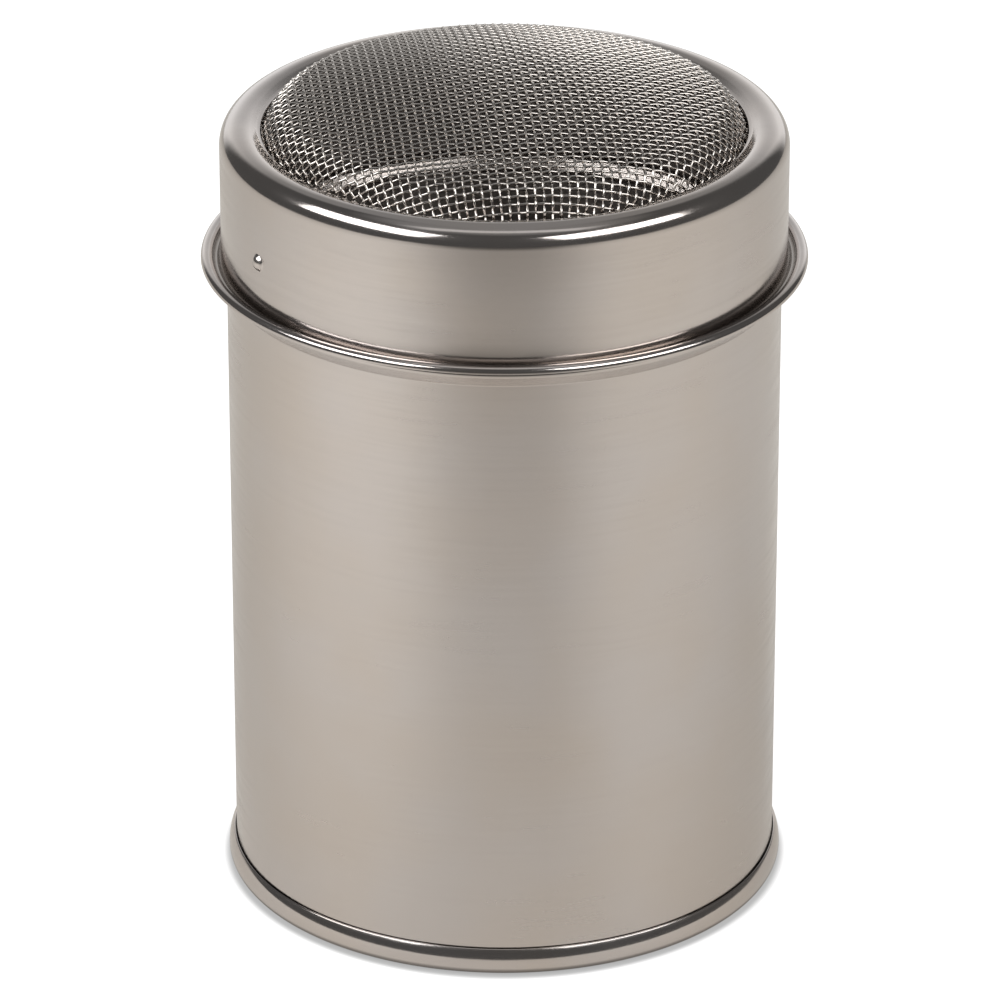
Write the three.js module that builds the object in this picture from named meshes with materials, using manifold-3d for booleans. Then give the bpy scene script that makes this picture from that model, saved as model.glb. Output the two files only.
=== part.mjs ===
// Stainless steel spice shaker with a woven wire top: a can with a seamed base and a push-on lid.
// Millimetres, +Z up, standing on z = 0, with its front towards -Y.
import * as THREE from 'three';
import { mergeVertices } from 'three/addons/utils/BufferGeometryUtils.js';
import Module from 'manifold-3d';

// Sheet metal and facets
const SHEET = 0.45;
const FACETS = 54;

// Can wall
const CAN_R = 33;
const CAN_LIP_Z = 91.4;
const LIP_FOLD_H = 3;
const STOP_BEAD_R = 0.9;
const STOP_BEAD_OUT = 1.4;

// Base pan, hooked round the foot of the can wall
const SEAM_OUT = 0.9;
const SEAM_H = 3.6;
const SEAM_BULGE_R = 1.7;
const SEAM_EDGE_R = 0.2;
const FOOT_ROLL_R = 1;
const FOOT_INNER_R = 0.25;
const CHANNEL_Z = 0.6;
const PANEL_Z = 3.4;
const PANEL_BEND_R = 0.9;
const SEAM_GAP = 0.3;
const WALL_FOOT_GAP = 0.25;
const CHUCK_GAP = 0.2;

// Lid shell
const LID_GAP = 0.2;
const LID_SEAT_GAP = 0.25;
const LID_H = 17.29;
const FLARE_R = 2;
const HEM_ROLL_R = 0.55;
const HEM_FOLD_GAP = 0.35;
const HEM_FOLD_EDGE_R = 0.2;
const CROWN_R = 2.57;
const DISH_SLOPE_DEG = 30;
const DISH_RUN = 0.495;
const DISH_ROOT_R = 1;

// Snap pips pressed out of the lid's skirt, the first one to the left of the front
const PIP_COUNT = 2;
const PIP_LEFT_DEG = 57.5;
const PIP_HEIGHT_SHARE = 0.33;
const PIP_SPHERE_R = 1.57;
const PIP_RISE = 0.5;
const PIP_WALL = 0.37;
const PIP_FACETS = 12;
const PIP_RINGS = 4;

// Woven wire top
const WIRE_T = 0.29;
const WIRE_W = 0.6;
const WIRE_PITCH = 4.6;
const WEAVE_TURN_DEG = 6.2;
const DOME_CAP_R = 95;
const DOME_ROLL_R = 4.4;
const DOME_ROOT_R = 0.6;
const DOME_EDGE_SLOPE_DEG = 79.5;
const DOME_EDGE_GAP = 0.6;
const WIRE_RIM_W = 1.8;
const WIRE_END_GAP = 0.3;
const CLAMP_GAP = 0.15;

// Ring that clamps the wires' rim from below
const RING_H = 2.37;
const RING_FLANGE_T = 0.8;
const RING_LEG_T = 0.5;
const RING_GAP = 0.2;
const RING_LIP_GAP = 0.4;
const RING_MOUTH_INSET = 0.2;
const RING_BEND_R = 0.35;

const wasm = await Module();
wasm.setup();

const rad = THREE.MathUtils.degToRad;
const point = (r, z) => new THREE.Vector2(r, z);

// Points of an arc in the plane of radius and height, both ends included
function arc(r, z, radius, fromDeg, toDeg, steps) {
  const points = [];
  for (let i = 0; i <= steps; i += 1) {
    const angle = rad(fromDeg + ((toDeg - fromDeg) * i) / steps);
    points.push(point(r + radius * Math.cos(angle), z + radius * Math.sin(angle)));
  }
  return points;
}

function bare(geometry) {
  geometry.deleteAttribute('normal');
  geometry.deleteAttribute('uv');
  return mergeVertices(geometry);
}

// Turns an outline of radius and height round the shaker's axis
function turned(outline, facets = FACETS) {
  return bare(new THREE.LatheGeometry(outline, facets).rotateX(Math.PI / 2));
}

function closedRing(outline) {
  return turned([...outline, outline[0]]);
}

function solid(geometry) {
  const vertProperties = new Float32Array(geometry.attributes.position.array);
  const triVerts = new Uint32Array(geometry.index.array);
  return new wasm.Manifold(new wasm.Mesh({ numProp: 3, vertProperties, triVerts }));
}

function geometryOf(manifold) {
  const mesh = manifold.getMesh();
  const geometry = new THREE.BufferGeometry();
  geometry.setAttribute('position', new THREE.BufferAttribute(mesh.vertProperties, 3));
  geometry.setIndex(new THREE.BufferAttribute(mesh.triVerts, 1));
  return geometry;
}

// Radii that the pieces share, from the can outwards and then in over the lid's crown to its mouth
const dishSlope = rad(DISH_SLOPE_DEG);
const canInnerR = CAN_R - SHEET;
const beadR = CAN_R + STOP_BEAD_OUT;
const skirtInnerR = CAN_R + LID_GAP;
const skirtR = skirtInnerR + SHEET;
const hemCentreR = skirtR + FLARE_R;
const flareUnderR = FLARE_R + SHEET;
const crownR = skirtR - CROWN_R;
const dishStartR = crownR - CROWN_R * Math.sin(dishSlope);
const mouthR = dishStartR - DISH_RUN - DISH_ROOT_R * Math.sin(dishSlope);
const wireRimR = mouthR + WIRE_RIM_W;

// Heights, from the can's lip up through the clamp to the crown, and from there down to the hem
const ringFootZ = CAN_LIP_Z + RING_LIP_GAP;
const ringTopZ = ringFootZ + RING_H;
const weaveZ = ringTopZ + CLAMP_GAP + WIRE_T;
const mouthZ = weaveZ + WIRE_T + CLAMP_GAP + SHEET;
const dishRootZ = mouthZ + DISH_ROOT_R * (1 - Math.cos(dishSlope));
const dishStartZ = dishRootZ + DISH_RUN * Math.tan(dishSlope);
const crownZ = dishStartZ - CROWN_R * Math.cos(dishSlope);
const hemFootZ = crownZ + CROWN_R - LID_H;
const hemZ = hemFootZ + HEM_ROLL_R;
const flareZ = hemZ + HEM_ROLL_R + FLARE_R;
const pipZ = flareZ + (crownZ - flareZ) * PIP_HEIGHT_SHARE;

// The bead on the can that the lid's flare rests on
const beadCentreR = beadR - STOP_BEAD_R;
const beadFilletR = beadCentreR - CAN_R;
const beadReach = flareUnderR + STOP_BEAD_R + LID_SEAT_GAP;
const beadZ = flareZ - Math.sqrt(beadReach ** 2 - (hemCentreR - beadCentreR) ** 2);

function canWall() {
  const lowFilletZ = beadZ - STOP_BEAD_R - beadFilletR;
  const highFilletZ = beadZ + STOP_BEAD_R + beadFilletR;
  const grooveR = STOP_BEAD_R - SHEET;
  const innerFilletR = beadFilletR + SHEET;
  const footZ = CHANNEL_Z + WALL_FOOT_GAP;
  const foldInnerR = CAN_R - 2 * SHEET;
  const foldFootZ = CAN_LIP_Z - LIP_FOLD_H;
  return closedRing([
    point(CAN_R, footZ),
    ...arc(beadCentreR, lowFilletZ, beadFilletR, 180, 90, 2),
    ...arc(beadCentreR, beadZ, STOP_BEAD_R, -90, 90, 4).slice(1, -1),
    ...arc(beadCentreR, highFilletZ, beadFilletR, -90, -180, 2),
    ...arc(CAN_R - SHEET, CAN_LIP_Z - SHEET, SHEET, 0, 180, 3),
    point(foldInnerR, foldFootZ + SHEET / 2),
    point(canInnerR, foldFootZ),
    ...arc(beadCentreR, highFilletZ, innerFilletR, 180, 270, 2),
    ...arc(beadCentreR, beadZ, grooveR, 90, -90, 4).slice(1, -1),
    ...arc(beadCentreR, lowFilletZ, innerFilletR, 90, 180, 2),
    point(canInnerR, footZ),
  ]);
}

function basePan() {
  const hookR = CAN_R + SEAM_GAP;
  const chuckR = canInnerR - CHUCK_GAP;
  const footInnerR = chuckR - SHEET;
  const seamR = CAN_R + SEAM_OUT;
  const bulgeCentreR = seamR - SEAM_BULGE_R;
  const topDeg = THREE.MathUtils.radToDeg(Math.acos((hookR - bulgeCentreR) / SEAM_BULGE_R));
  const bulgeZ = SEAM_H - SEAM_BULGE_R * Math.sin(rad(topDeg));
  const underBendR = PANEL_BEND_R - SHEET;
  return turned([
    point(0, PANEL_Z - SHEET),
    ...arc(footInnerR - underBendR, PANEL_Z - PANEL_BEND_R, underBendR, 90, 0, 2),
    point(footInnerR, FOOT_INNER_R),
    point(footInnerR + FOOT_INNER_R, 0),
    ...arc(seamR - FOOT_ROLL_R, FOOT_ROLL_R, FOOT_ROLL_R, -90, 0, 3),
    ...arc(bulgeCentreR, bulgeZ, SEAM_BULGE_R, 0, topDeg, 3),
    point(hookR, SEAM_H - SEAM_EDGE_R),
    point(hookR, CHANNEL_Z),
    point(chuckR, CHANNEL_Z),
    ...arc(chuckR - PANEL_BEND_R, PANEL_Z - PANEL_BEND_R, PANEL_BEND_R, 0, 90, 2),
    point(0, PANEL_Z),
  ]);
}

// A solid dome and the hollow behind it, pressed through the skirt where a pip sits
function pipTool(outline, angle) {
  const geometry = turned(outline, PIP_FACETS).rotateY(Math.PI / 2).rotateZ(angle);
  const centreR = skirtR + PIP_RISE - PIP_SPHERE_R;
  return solid(geometry.translate(centreR * Math.cos(angle), centreR * Math.sin(angle), pipZ));
}

function pipAngles() {
  const front = -Math.PI / 2;
  return Array.from({ length: PIP_COUNT }, (_, i) => front - rad(PIP_LEFT_DEG) + (i * 2 * Math.PI) / PIP_COUNT);
}

function lidShell() {
  const foldR = beadR + HEM_FOLD_GAP;
  const foldDeg = THREE.MathUtils.radToDeg(Math.asin((hemCentreR - foldR) / flareUnderR));
  const dishDeg = 90 + DISH_SLOPE_DEG;
  const shell = solid(closedRing([
    point(foldR + HEM_FOLD_EDGE_R, hemFootZ),
    ...arc(hemCentreR, hemZ, HEM_ROLL_R, -90, 90, 4),
    ...arc(hemCentreR, flareZ, FLARE_R, -90, -180, 3).slice(1),
    ...arc(crownR, crownZ, CROWN_R, 0, dishDeg, 6),
    ...arc(mouthR, mouthZ + DISH_ROOT_R, DISH_ROOT_R, -90 + DISH_SLOPE_DEG, -90, 1),
    ...arc(mouthR, mouthZ + DISH_ROOT_R, DISH_ROOT_R + SHEET, -90, -90 + DISH_SLOPE_DEG, 1),
    ...arc(crownR, crownZ, CROWN_R - SHEET, dishDeg, 0, 4),
    ...arc(hemCentreR, flareZ, flareUnderR, -180, -90 - foldDeg, 3),
    point(foldR, hemFootZ + HEM_FOLD_EDGE_R),
  ]));
  const sheetMiddle = skirtR - SHEET / 2;
  const rootX = sheetMiddle - (skirtR + PIP_RISE - PIP_SPHERE_R);
  const rootDeg = THREE.MathUtils.radToDeg(Math.asin(rootX / PIP_SPHERE_R));
  const dome = [point(0, rootX), ...arc(0, 0, PIP_SPHERE_R, rootDeg, 90, PIP_RINGS)];
  const hollow = arc(0, 0, PIP_SPHERE_R - PIP_WALL, -90, 90, 2 * PIP_RINGS);
  return geometryOf(pipAngles().reduce(
    (body, angle) => body.add(pipTool(dome, angle)).subtract(pipTool(hollow, angle)),
    shell,
  ));
}

// Height of the dome's middle surface: a shallow cap, a roll at its edge, a root and a flat rim
const edgeSlope = rad(DOME_EDGE_SLOPE_DEG);
const domeEdgeR = mouthR - DOME_EDGE_GAP;
const rootEndR = domeEdgeR + DOME_ROOT_R * Math.sin(edgeSlope);
const domeEdgeZ = weaveZ + DOME_ROOT_R * (1 - Math.cos(edgeSlope));
const capSlope = Math.asin((domeEdgeR - DOME_ROLL_R * Math.sin(edgeSlope)) / (DOME_CAP_R - DOME_ROLL_R));
const capEdgeR = DOME_CAP_R * Math.sin(capSlope);
const rollR = domeEdgeR - DOME_ROLL_R * Math.sin(edgeSlope);
const rollZ = domeEdgeZ - DOME_ROLL_R * Math.cos(edgeSlope);
const capZ = rollZ - (DOME_CAP_R - DOME_ROLL_R) * Math.cos(capSlope);

function domeHeight(r) {
  if (r <= capEdgeR) {
    return capZ + Math.sqrt(DOME_CAP_R ** 2 - r ** 2);
  }
  if (r <= domeEdgeR) {
    return rollZ + Math.sqrt(DOME_ROLL_R ** 2 - (r - rollR) ** 2);
  }
  if (r <= rootEndR) {
    return weaveZ + DOME_ROOT_R - Math.sqrt(DOME_ROOT_R ** 2 - (rootEndR - r) ** 2);
  }
  return weaveZ;
}

// The woven grid is one closed body. Each crossing is a box with a low, a middle and a high level:
// the wire on top joins the box's upper half and the wire below joins its lower half.
const WARP = new THREE.Vector2(0, 1);
const WEFT = new THREE.Vector2(1, 0);

function wovenTop() {
  const positions = [];
  const triangles = [];
  const crossings = new Map();
  const half = WIRE_W / 2;
  const reach = Math.ceil(wireRimR / WIRE_PITCH);
  const crossingLimit = wireRimR - Math.hypot(half, half);

  const vertex = (x, y, z) => positions.push(x, y, z) / 3 - 1;
  const quad = (a, b, c, d) => triangles.push(a, b, c, a, c, d);
  const sideOf = (way) => new THREE.Vector2(-way.y, way.x);
  const overlaps = (i, j, way) => ((i + j) % 2 === 0) === (way.x === 0);

  // The four corners of a wire's end on a crossing, seen along way: right and left, low and high
  function port(crossing, way, face, upper) {
    const side = sideOf(way);
    const corner = (s, level) => {
      const x = face * way.x + s * side.x > 0 ? 1 : 0;
      const y = face * way.y + s * side.y > 0 ? 1 : 0;
      return crossing.corners[level * 4 + y * 2 + x];
    };
    const low = upper ? 1 : 0;
    return [corner(-1, low), corner(1, low), corner(1, low + 1), corner(-1, low + 1)];
  }

  function section(at, way, lift) {
    const side = sideOf(way);
    const step = WIRE_T / 2;
    const r = at.length();
    const rise = (domeHeight(r + step) - domeHeight(r - step)) / (2 * step);
    const slope = Math.atan(rise * (at.dot(way) / r));
    const z = domeHeight(r) + lift;
    return [[-1, -1], [1, -1], [1, 1], [-1, 1]].map(([s, up]) => vertex(
      at.x + s * side.x * half - (up * WIRE_T * Math.sin(slope) * way.x) / 2,
      at.y + s * side.y * half - (up * WIRE_T * Math.sin(slope) * way.y) / 2,
      z + (up * WIRE_T * Math.cos(slope)) / 2,
    ));
  }

  function skin(from, to) {
    for (let k = 0; k < from.length; k += 1) {
      const next = (k + 1) % from.length;
      quad(from[k], from[next], to[next], to[k]);
    }
  }

  // Where a wire that runs from start towards way passes the rings where the dome bends
  function bends(start, way, length) {
    const along = start.dot(way);
    const across = start.dot(sideOf(way));
    const room = half + WIRE_T;
    const places = [capEdgeR, (capEdgeR + domeEdgeR) / 2, domeEdgeR, rootEndR]
      .filter((r) => r > Math.abs(across))
      .flatMap((r) => [-1, 1].map((s) => s * Math.sqrt(r ** 2 - across ** 2) - along))
      .filter((s) => s > room && s < length - room)
      .sort((a, b) => a - b);
    return places.filter((s, k) => k === 0 || s - places[k - 1] > WIRE_T);
  }

  for (let i = -reach; i <= reach; i += 1) {
    for (let j = -reach; j <= reach; j += 1) {
      const at = new THREE.Vector2(i * WIRE_PITCH, j * WIRE_PITCH);
      if (at.length() <= crossingLimit) {
        const z = domeHeight(at.length());
        const corners = [-WIRE_T, 0, WIRE_T].flatMap((dz) => [[-1, -1], [1, -1], [-1, 1], [1, 1]]
          .map(([x, y]) => vertex(at.x + x * half, at.y + y * half, z + dz)));
        crossings.set(`${i} ${j}`, { at, i, j, corners });
      }
    }
  }

  for (const crossing of crossings.values()) {
    const { at, i, j, corners } = crossing;
    quad(corners[8], corners[9], corners[11], corners[10]);
    quad(corners[0], corners[2], corners[3], corners[1]);
    for (const wire of [WARP, WEFT]) {
      const upper = overlaps(i, j, wire);
      const lift = upper ? WIRE_T / 2 : -WIRE_T / 2;
      for (const sense of [1, -1]) {
        const way = wire.clone().multiplyScalar(sense);
        const neighbour = crossings.get(`${i + way.x} ${j + way.y}`);
        const across = at.dot(sideOf(way));
        const toRim = Math.sqrt(wireRimR ** 2 - across ** 2) - at.dot(way);
        const tail = Math.min(toRim, WIRE_PITCH - WIRE_W - WIRE_END_GAP);
        quad(...port(crossing, way, 1, !upper));
        if (neighbour && sense > 0) {
          const places = bends(at, way, WIRE_PITCH);
          const joints = places.map((s) => section(
            at.clone().addScaledVector(way, s),
            way,
            lift * (1 - (2 * s) / WIRE_PITCH),
          ));
          const path = [port(crossing, way, 1, upper), ...joints, port(neighbour, way, -1, !upper)];
          path.slice(1).forEach((ring, k) => skin(path[k], ring));
        } else if (!neighbour && tail > half + WIRE_T) {
          const places = [...bends(at, way, tail), tail];
          const joints = places.map((s) => section(at.clone().addScaledVector(way, s), way, lift));
          const path = [port(crossing, way, 1, upper), ...joints];
          path.slice(1).forEach((ring, k) => skin(path[k], ring));
          quad(...joints[joints.length - 1]);
        } else if (!neighbour) {
          quad(...port(crossing, way, 1, upper));
        }
      }
    }
  }

  const geometry = new THREE.BufferGeometry();
  geometry.setAttribute('position', new THREE.Float32BufferAttribute(positions, 3));
  geometry.setIndex(triangles);
  return geometry;
}

function clampRing() {
  const outerR = skirtInnerR - RING_GAP;
  const flangeR = mouthR + RING_MOUTH_INSET;
  const flangeZ = ringTopZ - RING_FLANGE_T;
  return closedRing([
    point(outerR - RING_LEG_T, ringFootZ),
    point(outerR, ringFootZ),
    ...arc(outerR - RING_BEND_R, ringTopZ - RING_BEND_R, RING_BEND_R, 0, 90, 2),
    point(flangeR, ringTopZ),
    point(flangeR, flangeZ),
    point(outerR - RING_LEG_T, flangeZ),
  ]);
}

const steel = (color, roughness) => new THREE.MeshStandardMaterial({ color, roughness, metalness: 1 });

const shaker = new THREE.Group();

function add(name, geometry, material) {
  const mesh = new THREE.Mesh(geometry, material);
  mesh.name = name;
  shaker.add(mesh);
  return mesh;
}

add('can_wall', canWall(), steel(0xb3aaa0, 0.34));
add('base_pan', basePan(), steel(0xb8b0a7, 0.28));
add('lid_shell', lidShell(), steel(0xb5aca3, 0.3));
add('mesh_dome', wovenTop(), steel(0xc9c2b8, 0.25)).rotateZ(rad(WEAVE_TURN_DEG));
add('mesh_retaining_ring', clampRing(), steel(0xaaa299, 0.36));

export default shaker;
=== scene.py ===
"""Looks for the spice shaker: fine sheet metal, the full woven sieve, its finishes and a small studio."""

import math

import bmesh
import bpy
import numpy as np
from bpy.props import FloatProperty, FloatVectorProperty, IntProperty, PointerProperty
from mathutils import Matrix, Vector


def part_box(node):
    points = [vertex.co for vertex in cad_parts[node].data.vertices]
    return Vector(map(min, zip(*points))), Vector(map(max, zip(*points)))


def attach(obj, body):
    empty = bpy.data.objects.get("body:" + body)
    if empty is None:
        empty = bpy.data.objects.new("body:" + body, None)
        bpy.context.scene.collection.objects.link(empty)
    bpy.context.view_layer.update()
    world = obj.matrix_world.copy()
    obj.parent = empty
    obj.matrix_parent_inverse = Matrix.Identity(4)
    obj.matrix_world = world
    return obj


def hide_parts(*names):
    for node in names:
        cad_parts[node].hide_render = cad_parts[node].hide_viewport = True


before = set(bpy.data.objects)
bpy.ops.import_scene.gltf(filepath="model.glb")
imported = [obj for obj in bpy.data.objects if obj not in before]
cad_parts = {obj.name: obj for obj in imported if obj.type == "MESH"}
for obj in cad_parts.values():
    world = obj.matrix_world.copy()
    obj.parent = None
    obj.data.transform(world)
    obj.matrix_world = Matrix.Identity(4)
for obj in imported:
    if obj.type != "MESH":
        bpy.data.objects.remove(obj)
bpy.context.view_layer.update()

bl_info = {
    "name": "Spice shaker",
    "version": (1, 0, 0),
    "blender": (4, 5, 0),
    "location": "View3D > Sidebar > Shaker",
    "description": "Builds a stainless steel spice shaker with a woven wire sieve in its lid",
    "category": "Add Mesh",
}

MM = 0.001

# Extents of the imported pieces, from which the default sizes follow
CAN_LOW, CAN_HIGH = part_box("can_wall")
BASE_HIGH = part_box("base_pan")[1]
LID_LOW, LID_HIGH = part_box("lid_shell")
WEAVE_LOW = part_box("mesh_dome")[0]
RING_LOW, RING_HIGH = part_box("mesh_retaining_ring")


def length(name, description, default):
    return FloatProperty(name=name, description=description, default=default, min=0, precision=5, unit="LENGTH")


def angle(name, description, degrees):
    return FloatProperty(name=name, description=description, default=math.radians(degrees), unit="ROTATION")


def srgb(hex_colour):
    """Linear red, green and blue of an sRGB hex colour."""
    parts = [int(hex_colour[i : i + 2], 16) / 255 for i in (1, 3, 5)]
    return [c / 12.92 if c <= 0.04045 else ((c + 0.055) / 1.055) ** 2.4 for c in parts]


def colour(name, description, hex_colour):
    return FloatVectorProperty(
        name=name, description=description, default=srgb(hex_colour), min=0, max=1, subtype="COLOR"
    )


class CanSizes(bpy.types.PropertyGroup):
    """The sheet steel can wall and the pan that closes its foot."""

    sheet: length("Sheet", "Thickness of the sheet steel", 0.45 * MM)
    radius: length("Radius", "Outer radius of the wall", 33 * MM)
    bead_out: length("Bead reach", "How far the stop bead stands out of the wall", 1.05 * MM)
    bead_roll: length("Bead roll", "Radius of the stop bead's round back", 0.5 * MM)
    bead_foot: length("Bead foot", "Radius where the bead's lower side runs out into the wall", 0.3 * MM)
    bead_lean: angle("Bead lean", "Lean of the bead's lower side, out of the wall's own direction", 35)
    bead_height: length("Bead height", "Height of the stop bead's middle", 78.3 * MM)
    foot_height: length("Wall foot", "Height of the wall's lower edge inside the seam", CAN_LOW.z)
    lip_height: length("Lip", "Height of the can's folded lip", CAN_HIGH.z)
    lip_fold: length("Lip fold", "Length of the edge folded down inside the lip", 3 * MM)
    seam_radius: length("Seam radius", "Outer radius of the rolled base seam", BASE_HIGH.y)
    seam_lean: angle("Seam lean", "How far the seam's bulging side leans in where it rolls over", 32)
    seam_roll: length("Seam roll", "Radius of the seam's upper edge", 0.2 * MM)
    seam_gap: length("Seam gap", "Gap between the seam's edge and the wall", 0.15 * MM)
    foot_roll: length("Foot roll", "Radius under the seam's outer edge", 1.25 * MM)
    foot_inner: length("Inner foot roll", "Radius under the seam's inner edge", 0.25 * MM)
    channel: length("Channel", "Height of the channel that holds the wall's foot", 0.6 * MM)
    chuck_gap: length("Chuck gap", "Gap between the wall and the pan's upright part", 0.2 * MM)
    panel_height: length("Panel", "Height of the recessed base panel", 3.4 * MM)
    panel_bend: length("Panel bend", "Radius where the panel turns down", 0.9 * MM)


class LidSizes(bpy.types.PropertyGroup):
    """The pressed lid with its rolled hem, crown, dished rim and snap pips."""

    sheet: length("Sheet", "Thickness of the sheet steel", 0.45 * MM)
    hem_radius: length("Hem radius", "Outer radius of the curled hem", LID_HIGH.y - 0.14 * MM)
    hem_curl: length("Hem curl", "Radius of the half round that the hem is rolled into", 0.76 * MM)
    hem_height: length("Hem height", "Height of the half round's middle", LID_LOW.z + 0.5 * MM)
    hem_edge: length("Hem edge", "How far the hem's edge reaches below the half round", 0.06 * MM)
    skirt_radius: length("Skirt radius", "Outer radius of the skirt", LID_HIGH.y - 2.55 * MM)
    flare_lead: length("Flare lead", "Radius of the long bend by which the skirt's foot leans out", 17 * MM)
    flare_lean: angle("Flare lean", "Lean of the skirt where it meets the hem", 10)
    crown: length("Crown", "Radius of the rounded crown", 2.57 * MM)
    crown_top: length("Crown top", "Height of the crown", LID_HIGH.z)
    dish_slope: angle("Dish slope", "Slope of the dished rim inside the crown", 30)
    dish_run: length("Dish run", "Width of the dished rim's straight part", 0.495 * MM)
    dish_root: length("Dish root", "Radius where the dished rim turns level", 1 * MM)
    pip_count: IntProperty(name="Pips", description="Number of snap pips round the skirt", default=2, min=1)
    pip_turn: angle("Pip turn", "Angle of the first pip to the left of the front", 58.2)
    pip_share: FloatProperty(
        name="Pip height share", description="Place of the pips on the straight skirt", default=0.282, min=0, max=1
    )
    pip_ball: length("Pip ball", "Radius of the pips' rounded top", 1.15 * MM)
    pip_rise: length("Pip rise", "How far the pips stand out of the skirt", 0.6 * MM)
    pip_blend: length("Pip blend", "Rounding where a pip leaves the skirt", 0.06 * MM)


class SieveSizes(bpy.types.PropertyGroup):
    """The woven wire dome and the ring that clamps it in the lid."""

    wire: length("Wire", "Diameter of the wire", 0.32 * MM)
    warp_crimp: length("Warp crimp", "How far the warp bends up and down at each crossing", 0.16 * MM)
    weft_crimp: length("Weft crimp", "How far the weft bends up and down at each crossing", 0.07 * MM)
    warp_pitch: length("Warp pitch", "Spacing of the wires that run front to back", 1.025 * MM)
    weft_pitch: length("Weft pitch", "Spacing of the wires that run left to right", 0.968 * MM)
    warp_turn: angle("Warp turn", "Angle of the warp, anticlockwise from above", 5.4)
    weft_turn: angle("Weft turn", "Angle of the weft, anticlockwise from above", 8.5)
    weft_bow: FloatProperty(
        name="Weft bow", description="Bend of the weft across the dome, per metre", default=2, min=0
    )
    weft_fan: FloatProperty(
        name="Weft fan", description="Growth of the weft's angle towards the back, per metre", default=2.3, min=0
    )
    rim_height: length("Rim height", "Height of the weave's clamped rim", WEAVE_LOW.z + 0.29 * MM)
    rim_width: length("Rim width", "Width of the rim held under the crown", 1.8 * MM)
    edge_gap: length("Edge gap", "Gap between the dome's side and the lid's mouth", 0.6 * MM)
    cap: length("Cap radius", "Radius of the dome's shallow top", 98 * MM)
    roll: length("Roll radius", "Radius where the dome turns down", 4.4 * MM)
    root: length("Root radius", "Radius where the dome runs out into its rim", 0.6 * MM)
    edge_slope: angle("Edge slope", "Slope of the dome's side", 79.5)
    ring_foot: length("Ring foot", "Height of the clamp ring's lower edge", RING_LOW.z)
    ring_top: length("Ring top", "Height of the clamp ring's flange", RING_HIGH.z)
    ring_radius: length("Ring radius", "Outer radius of the clamp ring", RING_HIGH.y)
    ring_flange: length("Ring flange", "Thickness of the clamp ring's flange", 0.8 * MM)
    ring_leg: length("Ring leg", "Thickness of the clamp ring's leg", 0.5 * MM)
    ring_inset: length("Ring inset", "How far the flange stands back from the mouth", 0.2 * MM)
    ring_bend: length("Ring bend", "Radius of the clamp ring's corner", 0.35 * MM)


class Finishes(bpy.types.PropertyGroup):
    """Colours of the steel."""

    satin: colour("Satin steel", "Cold rolled sheet", "#C2BCB9")
    satin_warm: colour("Warm satin steel", "Cold rolled sheet where its tint is warmer", "#C1B9B3")
    # Painted shade: a darker colour for the groove behind the hem, standing in for the shade between curl and skirt
    groove_shade_colour: colour("Soil", "Dirt held in the groove behind the hem", "#A29C97")
    wire: colour("Bright wire", "Drawn wire of the sieve", "#D2CCC6")
    paper: colour("Paper", "Paper that the shaker stands on, as the camera sees it", "#FFFFFF")
    paper_glow: colour("Paper glow", "Warm light that the paper throws onto the steel", "#FFFBF4")


class StageSizes(bpy.types.PropertyGroup):
    """Camera, softboxes and floor."""

    floor_radius: length("Floor radius", "Radius of the paper floor", 1.6)
    floor_drop: length("Floor drop", "Gap between the foot and the paper", 0.05 * MM)
    box_distance: length("Softbox distance", "Distance of the softboxes from the lid", 1)
    focal: FloatProperty(name="Lens", description="Focal length of the camera in millimetres", default=248, min=1)
    camera_back: length("Camera distance", "How far the camera stands in front of the axis", 754.1 * MM)
    camera_height: length("Camera height", "Height of the camera", 398.6 * MM)
    aim_left: length("Aim left", "How far left of the axis the camera points", 0.532 * MM)
    aim_behind: length("Aim behind", "How far behind the axis the camera points", 0.773 * MM)
    aim_height: length("Aim height", "Height that the camera points at", 46.53 * MM)


# Steps round the axis of a turned piece, and the largest angle that one step of a bend takes
TURN_STEPS = 240
ARC_STEP = math.radians(6)
# Points closer than this are one, and edges sharper than this stay crisp
MERGE_DISTANCE = 0.001 * MM
CRISP_EDGE = math.radians(35)

# Layers of the outline's points: how tightly rolled, how much painted shade the groove behind the hem gets, and how
# dusty the sheet is there, from 0 to 1
SURFACE_LAYERS = ("rolled", "painted_groove_shade", "dusty")


def arc(radius, height, bend, start, end, painted_groove_shade=0):
    """Outline points of an arc round (radius, height), angles in degrees, most tightly rolled in its middle."""
    first, last = math.radians(start), math.radians(end)
    steps = max(2, math.ceil(abs(last - first) / ARC_STEP))
    points = []
    for i in range(steps + 1):
        share = i / steps
        at = first + (last - first) * share
        rolled = min(1, 4 * share * (1 - share))
        points.append((radius + bend * math.cos(at), height + bend * math.sin(at), rolled, painted_groove_shade, 0))
    return points


def straight(*points, dusty=0):
    """Outline points of a flat stretch of sheet."""
    return [(radius, height, 0, 0, dusty) for radius, height in points]


def new_piece(name, mesh, material, body, slot, *nodes):
    """Adds a piece that rides on a body and stands in for the named nodes."""
    piece = bpy.data.objects.new(name, mesh)
    bpy.context.scene.collection.objects.link(piece)
    mesh.materials.append(material)
    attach(piece, body)
    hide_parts(*nodes)
    return piece


def turned(outline, closed=True):
    """Turns an outline round the shaker's axis into a sheet metal body."""
    body = bmesh.new()
    for name in SURFACE_LAYERS:
        body.verts.layers.float.new(name)
    corners = []
    for radius, height, *surface in outline:
        corner = body.verts.new((0, -radius, height))
        for name, value in zip(SURFACE_LAYERS, surface):
            corner[body.verts.layers.float[name]] = value
        corners.append(corner)
    pairs = list(zip(corners, corners[1:]))
    if closed:
        pairs.append((corners[-1], corners[0]))
    edges = [body.edges.new(pair) for pair in pairs]
    bmesh.ops.spin(body, geom=corners + edges, axis=(0, 0, 1), angle=math.tau, steps=TURN_STEPS, use_merge=True)
    bmesh.ops.remove_doubles(body, verts=body.verts, dist=MERGE_DISTANCE)
    bmesh.ops.recalc_face_normals(body, faces=body.faces)
    return body


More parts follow.
